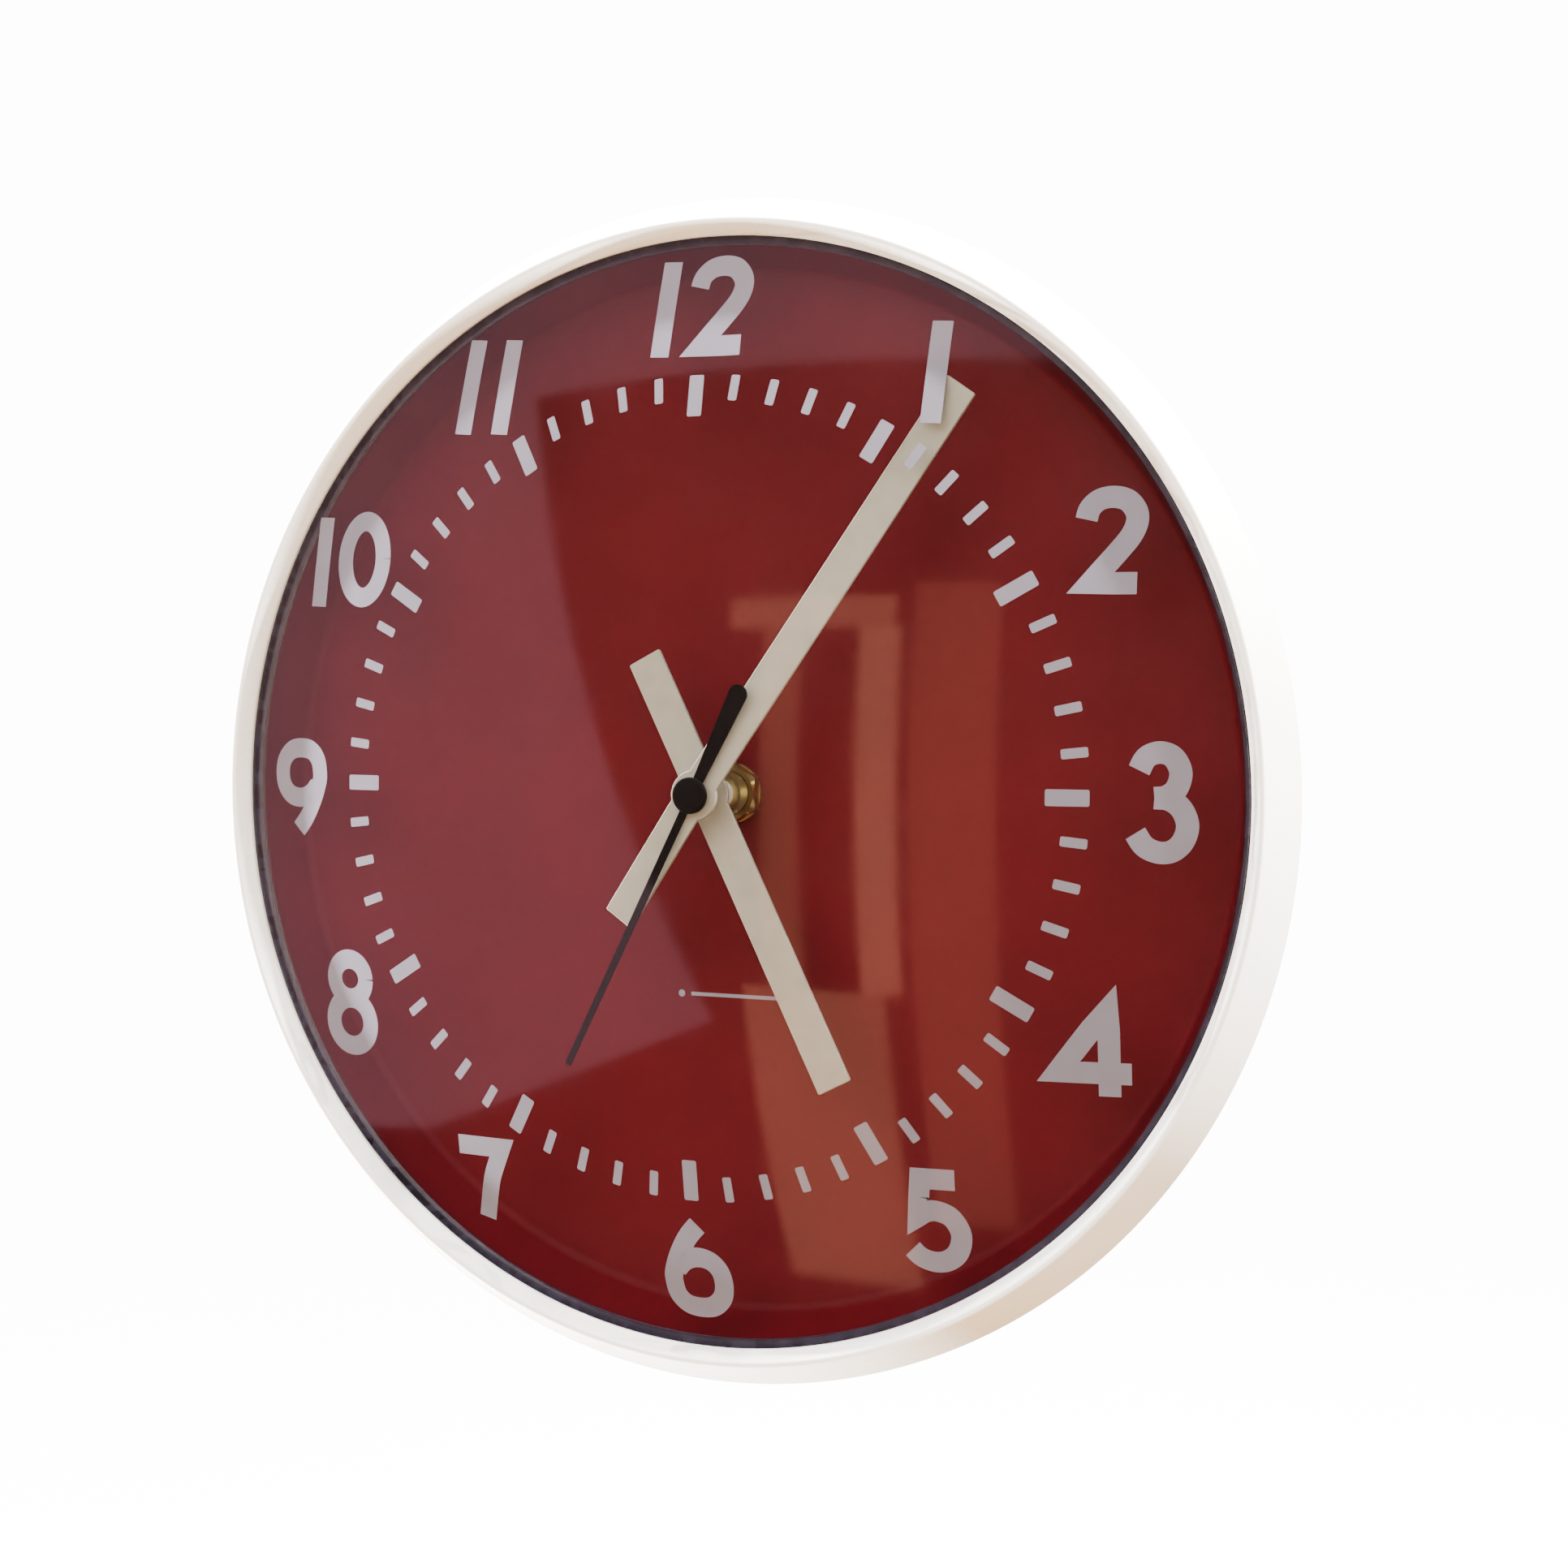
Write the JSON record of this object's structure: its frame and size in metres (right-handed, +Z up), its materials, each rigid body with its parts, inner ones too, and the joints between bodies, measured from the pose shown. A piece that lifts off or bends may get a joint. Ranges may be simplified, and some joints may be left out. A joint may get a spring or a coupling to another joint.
{
  "type": "quartz wall clock",
  "caption": "Round wall clock: white moulded case, domed clear lens, deep red dial, cream baton hands, battery movement behind a keyhole-hung case.",
  "frame": {"origin": "hanging point: middle of the keyhole slot's upper end, on the back face that lies on the wall", "axes": "+Z up, -Y out of the dial towards the viewer, +X to the viewer's right; the clock's axis is 78 mm below the origin"},
  "size_m": [0.22, 0.046, 0.22],
  "materials": {
    "case_plastic": "glossy white",
    "clear_plastic": "clear, polished",
    "grey_rubber": "matt",
    "dial_metal": "lacquered deep red",
    "black_plastic": "fine grain",
    "plate_plastic": "moulded",
    "natural_plastic": "moulded",
    "brass": "turned",
    "black_rubber": "matt",
    "cell_jacket": "printed jacket, plain",
    "spring_steel": "nickel plated",
    "soft_iron": "stamped",
    "copper": "enamelled wire",
    "magnet": "moulded ferrite",
    "steel": "drawn",
    "board": "lacquered",
    "hand_paint": "satin cream paint",
    "second_paint": "satin black paint"
  },
  "bodies": {
    "case": {"rear_case": "case_plastic", "bezel_ring": "case_plastic", "lens": "clear_plastic", "lens_gasket": "grey_rubber", "dial": "dial_metal", "movement_back_housing": "black_plastic", "movement_front_housing": "black_plastic", "gear_plate": "plate_plastic", "threaded_bushing": "brass", "rubber_washer": "black_rubber", "brass_washer": "brass", "hex_nut": "brass", "contact_positive": "spring_steel", "contact_negative": "spring_steel", "coil_core": "soft_iron", "coil_bobbin": "natural_plastic", "coil_winding": "copper", "stator": "soft_iron", "circuit_board": "board", "quartz_crystal": "steel", "chip_cover": "black_plastic"},
    "second": {"second_hand": "second_paint", "second_cap": "second_paint", "seconds_arbor": "steel", "seconds_wheel": "natural_plastic"},
    "minute": {"minute_hand": "hand_paint", "minute_pipe": "natural_plastic", "centre_wheel": "natural_plastic"},
    "hour": {"hour_hand": "hand_paint", "hour_wheel": "natural_plastic"},
    "motion": {"motion_wheel": "natural_plastic"},
    "third": {"third_wheel": "natural_plastic"},
    "fifth": {"fifth_wheel": "natural_plastic"},
    "rotor": {"rotor_magnet": "magnet", "rotor_pinion": "natural_plastic"},
    "setting": {"setting_knob": "black_plastic", "setting_shaft": "natural_plastic"},
    "battery": {"battery": "cell_jacket"}
  },
  "joints": [
    {"name": "second_turn", "type": "hinge", "parent": "case", "child": "second", "pos_m": [0, 0, -0.078], "axis": [0, 1, 0], "continuous": true},
    {"name": "minute_turn", "type": "hinge", "parent": "case", "child": "minute", "pos_m": [0, 0, -0.078], "axis": [0, 1, 0], "continuous": true},
    {"name": "hour_turn", "type": "hinge", "parent": "case", "child": "hour", "pos_m": [0, 0, -0.078], "axis": [0, 1, 0], "continuous": true},
    {"name": "third_turn", "type": "hinge", "parent": "case", "child": "third", "pos_m": [0.00673, 0, -0.07127], "axis": [0, 1, 0], "continuous": true},
    {"name": "fifth_turn", "type": "hinge", "parent": "case", "child": "fifth", "pos_m": [-0.00952, 0, -0.078], "axis": [0, 1, 0], "continuous": true},
    {"name": "rotor_turn", "type": "hinge", "parent": "case", "child": "rotor", "pos_m": [-0.01305, 0, -0.07315], "axis": [0, 1, 0], "continuous": true},
    {"name": "motion_turn", "type": "hinge", "parent": "case", "child": "motion", "pos_m": [0.00677, 0, -0.08046], "axis": [0, 1, 0], "continuous": true},
    {"name": "setting_turn", "type": "hinge", "parent": "case", "child": "setting", "pos_m": [0.01353, 0, -0.08293], "axis": [0, 1, 0], "continuous": true},
    {"name": "battery_slide", "type": "slide", "parent": "case", "child": "battery", "axis": [0, 1, 0], "range_m": [0, 0.018]}
  ],
  "couplings": [
    {"joint": "fifth_turn", "follows": "second_turn", "ratio": -6},
    {"joint": "rotor_turn", "follows": "second_turn", "ratio": 30},
    {"joint": "third_turn", "follows": "second_turn", "ratio": -0.13333},
    {"joint": "minute_turn", "follows": "second_turn", "ratio": 0.016667},
    {"joint": "motion_turn", "follows": "second_turn", "ratio": -0.0055556},
    {"joint": "hour_turn", "follows": "second_turn", "ratio": 0.0013889},
    {"joint": "setting_turn", "follows": "second_turn", "ratio": 0.016667}
  ]
}
